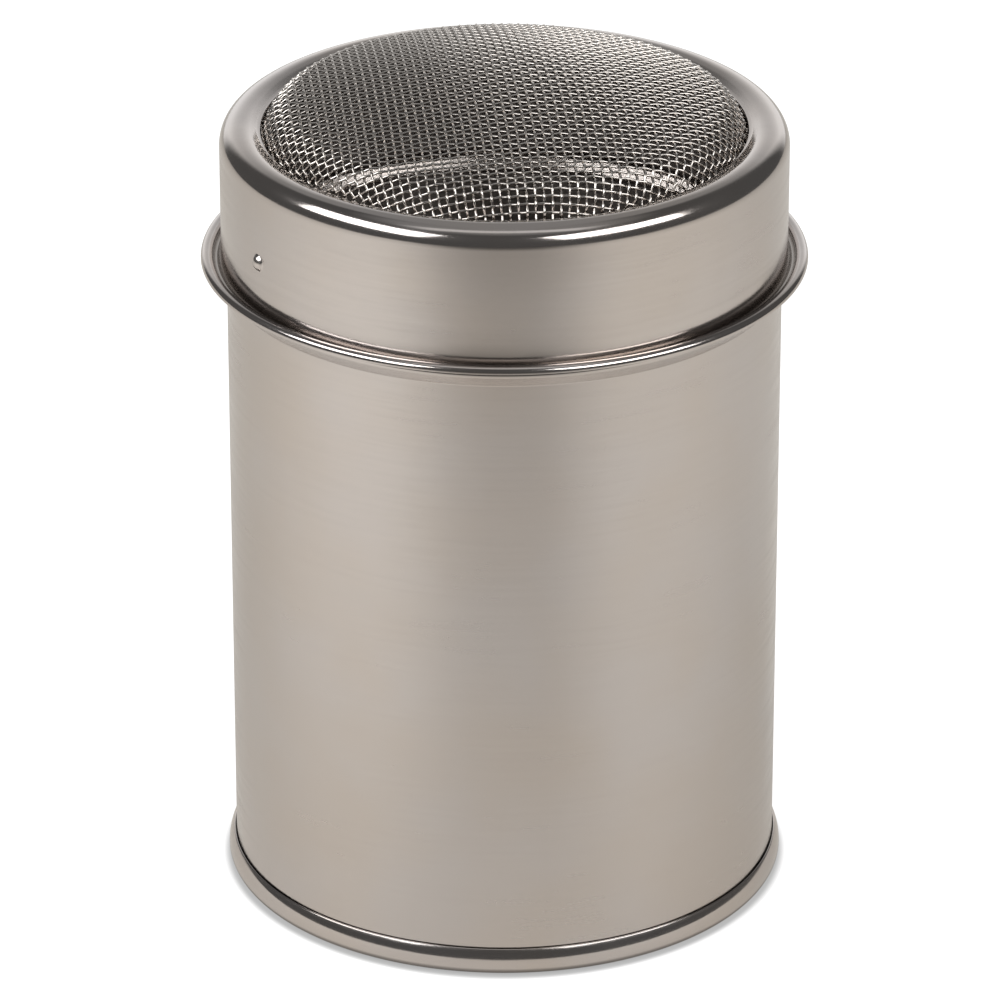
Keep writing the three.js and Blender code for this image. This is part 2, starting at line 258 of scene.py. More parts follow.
def finished(body, name):
    """Turns a body into a mesh with smooth bends and crisp edges."""
    mesh = bpy.data.meshes.new(name)
    body.to_mesh(mesh)
    body.free()
    mesh.shade_smooth()
    mesh.set_sharp_from_angle(angle=CRISP_EDGE)
    return mesh


def lid_shape(lid):
    """Radii and heights that the lid's parts share."""
    slope = lid.dish_slope
    crown_centre = lid.skirt_radius - lid.crown
    crown_height = lid.crown_top - lid.crown
    dish_start = crown_centre - lid.crown * math.sin(slope)
    dish_root_height = crown_height + lid.crown * math.cos(slope) - lid.dish_run * math.tan(slope)
    curl_centre = lid.hem_radius - lid.hem_curl
    lead_centre = lid.skirt_radius + lid.flare_lead
    lean = math.cos(lid.flare_lean)
    bend = (curl_centre - lid.hem_curl - lead_centre + lid.flare_lead * lean) / (1 + lean)
    lead_height = lid.hem_height + (lid.flare_lead - bend) * math.sin(lid.flare_lean)
    return {
        "curl_centre": curl_centre,
        "bend": bend,
        "lead_centre": lead_centre,
        "lead_height": lead_height,
        "pip_height": lead_height + (crown_height - lead_height) * lid.pip_share,
        "crown_centre": crown_centre,
        "crown_height": crown_height,
        "mouth": dish_start - lid.dish_run - lid.dish_root * math.sin(slope),
        "mouth_height": dish_root_height - lid.dish_root * (1 - math.cos(slope)),
    }


class SHAKER_OT_can_wall(bpy.types.Operator):
    """Builds the can wall with its stop bead and folded lip"""

    bl_idname = "shaker.can_wall"
    bl_label = "Can wall"

    def execute(self, context):
        can = context.scene.shaker_can
        wall = can.radius
        inner = wall - can.sheet
        centre = wall + can.bead_out - can.bead_roll
        fillet = centre - wall
        high = can.bead_height + can.bead_roll + fillet
        groove = can.bead_roll - can.sheet
        lean = can.bead_lean
        lean_degrees = math.degrees(lean)
        nose_foot = centre + can.bead_roll * math.cos(lean)
        run_out = nose_foot - wall - can.bead_foot * (1 - math.cos(lean))
        low = can.bead_height - (can.bead_roll + can.bead_foot) * math.sin(lean) - run_out / math.tan(lean)
        fold_inner = wall - 2 * can.sheet
        fold_foot = can.lip_height - can.lip_fold
        outline = [
            *straight((wall, can.foot_height)),
            *arc(wall + can.bead_foot, low, can.bead_foot, 180, 180 - lean_degrees),
            *arc(centre, can.bead_height, can.bead_roll, -lean_degrees, 90),
            *arc(centre, high, fillet, -90, -180),
            *arc(inner, can.lip_height - can.sheet, can.sheet, 0, 180),
            *straight((fold_inner, can.lip_height - 2 * can.sheet), dusty=1),
            *straight((fold_inner, fold_foot + can.sheet / 2), (inner, fold_foot), dusty=1),
            *straight((inner, high + can.sheet), dusty=1),
            *arc(centre, high, fillet + can.sheet, 180, 270),
            *arc(centre, can.bead_height, groove, 90, -lean_degrees),
            *arc(wall + can.bead_foot, low, can.bead_foot + can.sheet, 180 - lean_degrees, 180),
            *straight((inner, low - can.sheet), (inner, can.foot_height), dusty=1),
        ]
        mesh = finished(turned(outline), "can_wall_sheet")
        new_piece("can_wall_sheet", mesh, satin_cold_rolled_stainless(), "can", "satin_steel", "can_wall")
        return {"FINISHED"}


class SHAKER_OT_base_pan(bpy.types.Operator):
    """Builds the recessed base pan, rolled round the foot of the can wall"""

    bl_idname = "shaker.base_pan"
    bl_label = "Base pan"

    def execute(self, context):
        can = context.scene.shaker_can
        wall = can.radius
        hook = wall + can.seam_gap
        chuck = wall - can.sheet - can.chuck_gap
        foot = chuck - can.sheet
        lean = can.seam_lean
        lean_degrees = math.degrees(lean)
        bulge_reach = can.seam_radius - hook - can.seam_roll * math.cos(lean)
        bulge = bulge_reach / (1 - math.cos(lean))
        roll_height = can.foot_roll + (bulge - can.seam_roll) * math.sin(lean)
        under_bend = can.panel_bend - can.sheet
        bend_height = can.panel_height - can.panel_bend
        outline = [
            *straight((0, can.panel_height - can.sheet)),
            *arc(foot - under_bend, bend_height, under_bend, 90, 0),
            *arc(foot + can.foot_inner, can.foot_inner, can.foot_inner, 180, 270),
            *arc(can.seam_radius - can.foot_roll, can.foot_roll, can.foot_roll, -90, 0),
            *arc(can.seam_radius - bulge, can.foot_roll, bulge, 0, lean_degrees),
            *arc(hook, roll_height, can.seam_roll, lean_degrees, 90)[1:],
            *straight((hook, can.channel), (chuck, can.channel)),
            *arc(chuck - can.panel_bend, bend_height, can.panel_bend, 0, 90),
            *straight((0, can.panel_height)),
        ]
        mesh = finished(turned(outline, closed=False), "base_pan_sheet")
        new_piece("base_pan_sheet", mesh, satin_cold_rolled_stainless(), "can", "satin_steel", "base_pan")
        return {"FINISHED"}


def pip_rise_at(lid, distance):
    """Height of a pip over the skirt: a ball's top that runs out softly into the sheet."""
    ball = math.sqrt(max(0, lid.pip_ball**2 - distance**2)) - (lid.pip_ball - lid.pip_rise)
    return (ball + math.hypot(ball, lid.pip_blend)) / 2 if distance < lid.pip_ball else 0


# The skirt round a pip is cut finer, in a window that reaches this many pip radii each way
PIP_WINDOW = 1.25
PIP_ROWS = 6
PIP_CUTS = 6


def press_pips(body, lid, shape):
    """Refines the skirt where the pips sit and presses them outward through the sheet."""
    radius, height = lid.skirt_radius, shape["pip_height"]
    reach = lid.pip_ball * PIP_WINDOW
    for i in range(lid.pip_count):
        turn = -math.pi / 2 - lid.pip_turn + i * math.tau / lid.pip_count
        way = Vector((math.cos(turn), math.sin(turn), 0))
        side = Vector((-way.y, way.x, 0))
        centre = way * radius + Vector((0, 0, height))
        window = []
        for face in body.faces:
            off = face.calc_center_median() - centre
            if off.length < reach + lid.pip_ball and abs(off.dot(side)) < reach and abs(off.z) < reach:
                window.append(face)
        edges = list(dict.fromkeys(edge for face in window for edge in face.edges))
        bmesh.ops.subdivide_edges(body, edges=edges, cuts=PIP_CUTS, use_grid_fill=True)
        for corner in body.verts:
            off = corner.co - centre
            if off.length > reach + lid.pip_ball or abs(off.z) >= reach:
                continue
            out = Vector((corner.co.x, corner.co.y, 0))
            across = math.atan2(out.dot(side), out.dot(way)) * radius
            sheet_radius = radius if out.length > radius - lid.sheet / 2 else radius - lid.sheet
            out.normalize()
            pressed = sheet_radius + pip_rise_at(lid, math.hypot(across, off.z))
            corner.co = out * pressed + Vector((0, 0, corner.co.z))


# Painted shade: the groove between the skirt and the curled hem is coloured darker up to this angle on the curl,
# where they shade each other
HEM_SHADE_FROM = 150


class SHAKER_OT_lid_shell(bpy.types.Operator):
    """Builds the pressed lid with its rolled hem, dished rim and snap pips"""

    bl_idname = "shaker.lid_shell"
    bl_label = "Lid shell"

    def execute(self, context):
        lid = context.scene.shaker_lid
        shape = lid_shape(lid)
        slope = math.degrees(lid.dish_slope)
        lean = math.degrees(lid.flare_lean)
        skirt, mouth = lid.skirt_radius, shape["mouth"]
        lead, lead_height = shape["lead_centre"], shape["lead_height"]
        bend, groove = shape["bend"], shape["curl_centre"] - lid.hem_curl - shape["bend"]
        curl, height, edge = shape["curl_centre"], lid.hem_height, lid.hem_height - lid.hem_edge
        inner_curl = lid.hem_curl - lid.sheet
        root_height = shape["mouth_height"] + lid.dish_root
        reach = lid.pip_ball * PIP_WINDOW
        pip_rows = [shape["pip_height"] + reach * (2 * i / PIP_ROWS - 1) for i in range(PIP_ROWS + 1)]
        outline = [
            *straight((lid.hem_radius, edge), (curl + inner_curl, edge)),
            *arc(curl, height, inner_curl, 0, 180),
            *arc(groove, height, bend + lid.sheet, 0, lean - 180),
            *arc(lead, lead_height, lid.flare_lead + lid.sheet, lean - 180, -180)[1:],
            *straight(*[(skirt - lid.sheet, z) for z in pip_rows], dusty=1),
            *arc(shape["crown_centre"], shape["crown_height"], lid.crown - lid.sheet, 0, 90 + slope),
            *arc(mouth, root_height, lid.dish_root + lid.sheet, -90 + slope, -90),
            *arc(mouth, root_height, lid.dish_root, -90, -90 + slope),
            *arc(shape["crown_centre"], shape["crown_height"], lid.crown, 90 + slope, 0),
            *straight(*[(skirt, z) for z in reversed(pip_rows)]),
            *arc(lead, lead_height, lid.flare_lead, -180, lean - 180),
            # The groove and the curl's inner side carry painted shade
            *arc(groove, height, bend, lean - 180, 0, painted_groove_shade=1)[1:],
            *arc(curl, height, lid.hem_curl, 180, HEM_SHADE_FROM, painted_groove_shade=1)[1:],
            *arc(curl, height, lid.hem_curl, HEM_SHADE_FROM, 0)[1:],
        ]
        body = turned(outline)
        press_pips(body, lid, shape)
        mesh = finished(body, "lid_shell_sheet")
        new_piece("lid_shell_sheet", mesh, satin_cold_rolled_stainless(), "lid", "satin_steel", "lid_shell")
        return {"FINISHED"}


WIRE_SIDES = 6
STEPS_PER_PITCH = 4
# Rounds that settle a crossing's place, as the weft's bend depends on the place itself
WEAVE_ROUNDS = 8


def dome_outline(sieve, mouth):
    """Height of the dome's top, and its outline from there as stretches of (length, slope at start, slope at end)."""
    edge = mouth - sieve.edge_gap
    reach = edge - sieve.roll * math.sin(sieve.edge_slope)
    cap_slope = math.asin(reach / (sieve.cap - sieve.roll))
    root_end = edge + sieve.root * math.sin(sieve.edge_slope)
    rim = mouth + sieve.rim_width - root_end
    roll_height = (
        sieve.rim_height + sieve.root * (1 - math.cos(sieve.edge_slope)) - sieve.roll * math.cos(sieve.edge_slope)
    )
    top = roll_height - (sieve.cap - sieve.roll) * math.cos(cap_slope) + sieve.cap
    stretches = [
        (sieve.cap * cap_slope, 0, cap_slope),
        (sieve.roll * (sieve.edge_slope - cap_slope), cap_slope, sieve.edge_slope),
        (sieve.root * sieve.edge_slope, sieve.edge_slope, 0),
        (rim, 0, 0),
    ]
    return top, stretches


def on_dome(sieve, mouth, u, v):
    """Place and outward normal on the dome of the flat weave's points (u, v), laid out from its middle."""
    top, stretches = dome_outline(sieve, mouth)
    run = np.hypot(u, v)
    radius, height, slope = np.zeros_like(run), np.full_like(run, top), np.zeros_like(run)
    start = 0
    for stretch, first, last in stretches:
        share = np.clip((run - start) / stretch, 0, 1)
        inside = np.clip(run - start, 0, stretch)
        bend = first + (last - first) * share
        if first == last:
            radius += inside * math.cos(first)
            height -= inside * math.sin(first)
        else:
            curve = stretch / (last - first)
            radius += curve * (np.sin(bend) - math.sin(first))
            height += curve * (np.cos(bend) - math.cos(first))
        slope = np.where(run > start, bend, slope)
        start += stretch
    safe = np.where(run > 0, run, 1)
    cosine, sine = u / safe, v / safe
    place = np.stack([radius * cosine, radius * sine, height], axis=-1)
    normal = np.stack([np.sin(slope) * cosine, np.sin(slope) * sine, np.cos(slope)], axis=-1)
    return place, normal


def flat_weave(sieve, i, j):
    """Place on the flat sheet of crossing (i, j), counted in pitches from the middle.

    The warp and the weft aren't quite square to each other, and pressing the dome has bowed and fanned the weft.
    """
    warp, weft = sieve.warp_turn, sieve.weft_turn
    u, v = i * sieve.warp_pitch, j * sieve.weft_pitch
    x, y = u, v
    for _ in range(WEAVE_ROUNDS):
        pressed = v + sieve.weft_bow * x * x + sieve.weft_fan * x * y
        x = (math.cos(weft) * u - math.sin(warp) * pressed) / math.cos(weft - warp)
        y = (math.sin(weft) * u + math.cos(warp) * pressed) / math.cos(weft - warp)
    return x, y


def woven_wires(sieve, mouth, warp):
    """Vertices and faces of all the wires of the warp, or of the weft, bent over and under those that cross them."""
    total = sum(stretch for stretch, *_ in dome_outline(sieve, mouth)[1])
    most = math.ceil(total / min(sieve.warp_pitch, sieve.weft_pitch)) + 2
    along = np.linspace(-most, most, 2 * most * STEPS_PER_PITCH + 1)
    places, faces, count = [], [], 0
    for k in range(-most, most + 1):
        across = np.full_like(along, k)
        x, y = flat_weave(sieve, across, along) if warp else flat_weave(sieve, along, across)
        crimp = sieve.warp_crimp if warp else -sieve.weft_crimp
        lift = crimp * np.cos(math.pi * along) * (-1) ** k
        inside = np.hypot(x, y) < total
        rows = int(inside.sum())
        if rows < 2 * STEPS_PER_PITCH:
            continue
        place, normal = on_dome(sieve, mouth, x[inside], y[inside])
        line = place + normal * lift[inside, None]
        tangent = np.gradient(line, axis=0)
        tangent /= np.linalg.norm(tangent, axis=1)[:, None]
        side = np.cross(tangent, normal)
        side /= np.linalg.norm(side, axis=1)[:, None]
        up = np.cross(side, tangent)
        for i in range(WIRE_SIDES):
            turn = math.tau * i / WIRE_SIDES
            places.append(line + sieve.wire / 2 * (math.cos(turn) * up + math.sin(turn) * side))
        first = np.arange(rows - 1)
        for i in range(WIRE_SIDES):
            here, there = count + i * rows + first, count + (i + 1) % WIRE_SIDES * rows + first
            faces.extend(np.stack([here, there, there + 1, here + 1], axis=-1).tolist())
        ends = [count + i * rows for i in range(WIRE_SIDES)]
        faces.append(ends[::-1])
        faces.append([e + rows - 1 for e in ends])
        count += rows * WIRE_SIDES
    return np.concatenate(places), faces


class SHAKER_OT_sieve(bpy.types.Operator):
    """Weaves the wire dome of the lid, warp and weft"""

    bl_idname = "shaker.sieve"
    bl_label = "Woven sieve"

    def execute(self, context):
        sieve = context.scene.shaker_sieve
        mouth = lid_shape(context.scene.shaker_lid)["mouth"]
        material = bright_drawn_stainless_wire()
        for name, warp in (("sieve_warp_wires", True), ("sieve_weft_wires", False)):
            places, faces = woven_wires(sieve, mouth, warp)
            mesh = bpy.data.meshes.new(name)
            mesh.from_pydata(places.tolist(), [], faces)
            mesh.shade_smooth()
            new_piece(name, mesh, material, "lid", "wire_steel", "mesh_dome")
        return {"FINISHED"}


class SHAKER_OT_clamp_ring(bpy.types.Operator):
    """Builds the ring that clamps the sieve's rim in the lid"""

    bl_idname = "shaker.clamp_ring"
    bl_label = "Clamp ring"

    def execute(self, context):
        sieve = context.scene.shaker_sieve
        mouth = lid_shape(context.scene.shaker_lid)["mouth"] + sieve.ring_inset
        leg = sieve.ring_radius - sieve.ring_leg
        flange = sieve.ring_top - sieve.ring_flange
        bend = sieve.ring_bend
        outline = [
            *straight((leg, sieve.ring_foot), (sieve.ring_radius, sieve.ring_foot)),
            *arc(sieve.ring_radius - bend, sieve.ring_top - bend, bend, 0, 90),
            *straight((mouth, sieve.ring_top), (mouth, flange), (leg, flange), dusty=1),
        ]
        mesh = finished(turned(outline), "sieve_clamp_ring")
        material = satin_cold_rolled_stainless()
        new_piece("sieve_clamp_ring", mesh, material, "lid", "satin_steel", "mesh_retaining_ring")
        return {"FINISHED"}


def add_node(tree, kind, inputs=None, **settings):
    """Adds a node, sets its properties, and fills or links its inputs."""
    node = tree.nodes.new(kind)
    for name, value in settings.items():
        setattr(node, name, value)
    for name, value in (inputs or {}).items():
        if isinstance(value, bpy.types.NodeSocket):
            tree.links.new(value, node.inputs[name])
        else:
            node.inputs[name].default_value = value
    return node


# Places of the colour sockets among the sockets of a Mix node
MIX_A, MIX_B, MIX_RESULT = 6, 7, 2
# Noise stays mostly between these values
NOISE_RANGE = {"From Min": 0.3, "From Max": 0.7}

# Real sizes of the patterns on the steel, along and across where a pattern has a direction
SMUDGE = 11.11 * MM
MILL_GRAIN = (14.29 * MM, 0.625 * MM)
MANDREL_FLAT = (13.33 * MM, 250 * MM)
RIPPLE = 3.846 * MM
TINT_PATCH = 18.18 * MM
DRAW_MARK = 1.111 * MM
# Depths of the relief that bends the reflections
MANDREL_FLAT_DEPTH = 0.09 * MM
RIPPLE_DEPTH = 0.012 * MM
MILL_GRAIN_DEPTH = 0.0015 * MM


def new_material(name):
    """An empty node material."""
    material = bpy.data.materials.new(name)
    material.use_nodes = True
    material.node_tree.nodes.clear()
    return material, material.node_tree


def satin_cold_rolled_stainless():
    """Stainless sheet, cold rolled to a satin skin, then pressed and rolled to shape."""
    name = "satin_cold_rolled_stainless"
    if name in bpy.data.materials:
        return bpy.data.materials[name]
    # Satin rolls roughen the skin just enough that the sheet mirrors the studio as soft broad bands, without an image
    finishes = bpy.context.scene.shaker_finishes
    material, tree = new_material(name)
    place = add_node(tree, "ShaderNodeTexCoord").outputs["Object"]
    # Handling and wiping leave patches of about 10 mm that are a little duller, so reflections soften unevenly
    smudges = add_node(
        tree, "ShaderNodeTexNoise", {"Vector": place, "Scale": 1 / SMUDGE, "Detail": 4, "Roughness": 0.6}
    )
    dull = add_node(
        tree, "ShaderNodeMapRange", {"Value": smudges.outputs[0], **NOISE_RANGE, "To Min": 0.17, "To Max": 0.25}
    )
    # Fine grain of the rolling mill, drawn round the body: real grain is finer, and is drawn 0.6 mm high to show
    along, across = MILL_GRAIN
    round_body = add_node(
        tree, "ShaderNodeMapping", {"Vector": place, "Scale": (1 / along, 1 / along, 1 / across)}
    )
    grain = add_node(tree, "ShaderNodeTexNoise", {"Vector": round_body.outputs[0], "Scale": 1, "Detail": 3})
    grained = add_node(
        tree, "ShaderNodeMapRange", {"Value": grain.outputs[0], **NOISE_RANGE, "To Min": 0.8, "To Max": 1.25}
    )
    # Rolled bends are burnished by the tool and by wear, so their highlights are tighter
    bends = add_node(tree, "ShaderNodeAttribute", attribute_name="rolled")
    burnished = add_node(
        tree, "ShaderNodeMapRange", {"Value": bends.outputs["Fac"], "From Max": 0.5, "To Min": 1, "To Max": 0.6}
    )
    # Spice dust films the inside, so it scatters what comes through the sieve and the holes don't look black
    inside = add_node(tree, "ShaderNodeAttribute", attribute_name="dusty")
    filmed = add_node(tree, "ShaderNodeMapRange", {"Value": inside.outputs["Fac"], "To Min": 1, "To Max": 2.6})
    roughness = dull
    for share in (grained, filmed, burnished):
        roughness = add_node(
            tree, "ShaderNodeMath", {0: roughness.outputs[0], 1: share.outputs[0]}, operation="MULTIPLY"
        )
    # Sheet bent round a mandrel keeps faint upright flats of about 13 mm: soft tone steps along the wall
    wide, high = MANDREL_FLAT
    upright = add_node(tree, "ShaderNodeMapping", {"Vector": place, "Scale": (1 / wide, 1 / wide, 1 / high)})
    flats = add_node(tree, "ShaderNodeTexNoise", {"Vector": upright.outputs[0], "Scale": 1, "Detail": 2})
    # Shallow dents and ripples of about 4 mm mottle the reflections
    ripples = add_node(
        tree, "ShaderNodeTexNoise", {"Vector": place, "Scale": 1 / RIPPLE, "Detail": 3, "Roughness": 0.55}
    )
    relief = {}
    for pattern, depth in ((flats, MANDREL_FLAT_DEPTH), (ripples, RIPPLE_DEPTH), (grain, MILL_GRAIN_DEPTH)):
        skin = add_node(
            tree, "ShaderNodeBump", {"Height": pattern.outputs[0], "Strength": 1, "Distance": depth, **relief}
        )
        relief = {"Normal": skin.outputs[0]}
    # The sheet's tint wanders a little between warm and neutral; painted shade darkens the colour in the groove
    # behind the hem, where the curl and the skirt shade each other
    tints = add_node(tree, "ShaderNodeTexNoise", {"Vector": place, "Scale": 1 / TINT_PATCH, "Detail": 2})
    warmth = add_node(tree, "ShaderNodeMapRange", {"Value": tints.outputs[0], "From Min": 0.35, "From Max": 0.65})
    tinted = add_node(
        tree,
        "ShaderNodeMix",
        {0: warmth.outputs[0], MIX_A: (*finishes.satin, 1), MIX_B: (*finishes.satin_warm, 1)},
        data_type="RGBA",
    )
    # Painted shade: the groove's points mix the steel towards the darker groove colour
    groove_shade_share = add_node(tree, "ShaderNodeAttribute", attribute_name="painted_groove_shade")
    base = add_node(
        tree,
        "ShaderNodeMix",
        {0: groove_shade_share.outputs["Fac"], MIX_A: tinted.outputs[MIX_RESULT], MIX_B: (*finishes.groove_shade_colour, 1)},
        data_type="RGBA",
    )
    steel = add_node(
        tree,
        "ShaderNodeBsdfPrincipled",
        {"Base Color": base.outputs[MIX_RESULT], "Metallic": 1, "Roughness": roughness.outputs[0], **relief},
    )
    add_node(tree, "ShaderNodeOutputMaterial", {"Surface": steel.outputs[0]})
    return material


def bright_drawn_stainless_wire():
    """Stainless wire, drawn bright through a die and woven."""
    # The die polishes the wire, so each bend over a crossing holds a small sharp glint between dark sides.
    # Draw marks of about 1 mm, coarser than real ones, make the glints uneven from wire to wire
    finishes = bpy.context.scene.shaker_finishes
    material, tree = new_material("bright_drawn_stainless_wire")
    place = add_node(tree, "ShaderNodeTexCoord").outputs["Object"]
    marks = add_node(tree, "ShaderNodeTexNoise", {"Vector": place, "Scale": 1 / DRAW_MARK, "Detail": 2})
    roughness = add_node(
        tree, "ShaderNodeMapRange", {"Value": marks.outputs[0], **NOISE_RANGE, "To Min": 0.08, "To Max": 0.15}
    )
    steel = add_node(
        tree,
        "ShaderNodeBsdfPrincipled",
        {"Base Color": (*finishes.wire, 1), "Metallic": 1, "Roughness": roughness.outputs[0]},
    )
    add_node(tree, "ShaderNodeOutputMaterial", {"Surface": steel.outputs[0]})
    return material


def seen_in_gloss(tree, path):
    """1 for rays that come from gloss or through glass, else 0."""
    return add_node(
        tree,
        "ShaderNodeMath",
        {0: path.outputs["Is Glossy Ray"], 1: path.outputs["Is Transmission Ray"]},
        operation="ADD",
        use_clamp=True,
    ).outputs[0]


def sector(tree, across, ahead, full, gone):
    """1 within the angle full of the direction ahead, falling softly to 0 at the angle gone, in degrees."""
    turn = add_node(tree, "ShaderNodeMath", {0: across, 1: ahead}, operation="ARCTAN2")
    off = add_node(tree, "ShaderNodeMath", {0: turn.outputs[0]}, operation="ABSOLUTE")
    limits = {"From Min": math.radians(full), "From Max": math.radians(gone), "To Min": 1, "To Max": 0}
    return add_node(
        tree, "ShaderNodeMapRange", {"Value": off.outputs[0], **limits}, interpolation_type="SMOOTHSTEP"
    ).outputs[0]


# The paper's level as the steel mirrors it, and its painted pools of light: place, radius and gain
PAPER_LEVEL = 0.78
PAPER_PAINTED_POOLS = ((-0.17, -0.1, 0.25, 0.27), (0.2, -0.08, 0.3, 0.15))
# Painted shade darkens it towards the camera, in a sector of degrees either side of the front, between two distances
PAPER_PAINTED_SHADE_SECTOR = (10, 48)
PAPER_PAINTED_SHADE_RUN = {"From Min": -0.05, "From Max": 0.55, "To Min": 0, "To Max": -0.62}
# Radii of a painted shadow round the foot: the paper is painted darker towards the foot and brightens outward between
# them
PAPER_PAINTED_SHADOW = {"From Min": 33.6 * MM, "From Max": 35 * MM, "To Min": 0.45, "To Max": 1}
# Strength of the paper's own white to the camera, and its share there and in the steel
PAPER_GLOW = 1.4
PAPER_GLOW_SHARE = 0.65
PAPER_GLOSS_SHARE = 0.3


def white_paper():
    """Background paper, uncoated and white."""
    # Uncoated paper scatters evenly, so it looks plain white, with a soft shadow where the foot stands on it: partly
    # real shadow from its lit share, partly a painted shadow that darkens it by radius round the foot.
    # The steel mirrors it with painted light: painted pools of light to both sides and painted shade towards the
    # camera
    finishes = bpy.context.scene.shaker_finishes
    material, tree = new_material("white_paper")
    path = add_node(tree, "ShaderNodeLightPath")
    gloss = seen_in_gloss(tree, path)
    place = add_node(tree, "ShaderNodeTexCoord").outputs["Object"]
    parts = add_node(tree, "ShaderNodeSeparateXYZ", {0: place})
    front = add_node(tree, "ShaderNodeMath", {0: parts.outputs["Y"], 1: -1}, operation="MULTIPLY").outputs[0]
    # Painted shade: the paper's level as the steel sees it falls towards the camera
    run = add_node(tree, "ShaderNodeMapRange", {"Value": front, **PAPER_PAINTED_SHADE_RUN}).outputs[0]
    dark = sector(tree, parts.outputs["X"], front, *PAPER_PAINTED_SHADE_SECTOR)
    tone = add_node(tree, "ShaderNodeMath", {0: run, 1: dark, 2: PAPER_LEVEL}, operation="MULTIPLY_ADD").outputs[0]
    # Painted pools of light: brighter round spots on the paper, seen only by the steel
    for x, y, radius, gain in PAPER_PAINTED_POOLS:
        patch = add_node(
            tree,
            "ShaderNodeMapping",
            {"Vector": place, "Location": (x, y, 0), "Scale": (radius, radius, radius)},
            vector_type="TEXTURE",
        )
        ball = add_node(tree, "ShaderNodeTexGradient", {"Vector": patch.outputs[0]}, gradient_type="SPHERICAL")
        soft = add_node(
            tree,
            "ShaderNodeMapRange",
            {"Value": ball.outputs[1], "To Min": 0, "To Max": gain},
            interpolation_type="SMOOTHSTEP",
        )
        tone = add_node(tree, "ShaderNodeMath", {0: tone, 1: soft.outputs[0]}, operation="ADD").outputs[0]
    # Painted shadow: paper colour and glow both darken by radius towards the foot
    flat = add_node(tree, "ShaderNodeVectorMath", {0: place}, operation="LENGTH")
    painted_foot_shadow = add_node(
        tree,
        "ShaderNodeMapRange",
        {"Value": flat.outputs["Value"], **PAPER_PAINTED_SHADOW},
        interpolation_type="SMOOTHSTEP",
    ).outputs[0]
    tint = add_node(
        tree,
        "ShaderNodeMix",
        {0: gloss, MIX_A: (*finishes.paper, 1), MIX_B: (*finishes.paper_glow, 1)},
        data_type="RGBA",
    ).outputs[MIX_RESULT]
    level = add_node(tree, "ShaderNodeMix", {"Factor": gloss, "A": 1.0, "B": tone}).outputs[0]
    level = add_node(tree, "ShaderNodeMath", {0: level, 1: painted_foot_shadow}, operation="MULTIPLY").outputs[0]
    colour = add_node(tree, "ShaderNodeVectorMath", {0: tint, "Scale": level}, operation="SCALE").outputs[0]
    lit = add_node(tree, "ShaderNodeBsdfDiffuse", {"Color": colour})
    strength = add_node(tree, "ShaderNodeMix", {"Factor": gloss, "A": PAPER_GLOW, "B": tone}).outputs[0]
    strength = add_node(tree, "ShaderNodeMath", {0: strength, 1: painted_foot_shadow}, operation="MULTIPLY").outputs[0]
    glow = add_node(tree, "ShaderNodeEmission", {"Color": tint, "Strength": strength})
    seen = add_node(
        tree, "ShaderNodeMath", {0: path.outputs["Is Camera Ray"], 1: PAPER_GLOW_SHARE}, operation="MULTIPLY"
    ).outputs[0]
    share = add_node(tree, "ShaderNodeMath", {0: gloss, 1: PAPER_GLOSS_SHARE, 2: seen}, operation="MULTIPLY_ADD")
    mix = add_node(tree, "ShaderNodeMixShader", {0: share.outputs[0], 1: lit.outputs[0], 2: glow.outputs[0]})
    add_node(tree, "ShaderNodeOutputMaterial", {"Surface": mix.outputs[0]})
    return material


# Levels of the room that the steel mirrors, by the height of the direction: walls up to the ceiling,
# and the backdrop from its foot to its top
ROOM_RISE = {"From Min": 0.85, "From Max": 0.95, "To Min": 0.1, "To Max": 0.3}
BACKDROP_RISE = {"From Min": 0.2, "From Max": 0.6, "To Min": 1.1, "To Max": 0.33}
# Degrees either side of straight behind where the backdrop is full and where it ends
BACKDROP_SECTOR = (24, 38)
# Strip light overhead: its level and its tilt towards the front, then half its depth and half its width,
# each where it is full and where it ends, in degrees
OVERHEAD_LEVEL = 0.85
OVERHEAD_TILT = 9
OVERHEAD_DEPTH = (4, 8)
OVERHEAD_WIDTH = (16, 26)
# Even light from all round, for whatever isn't gloss
AMBIENT_LEVEL = 0.37


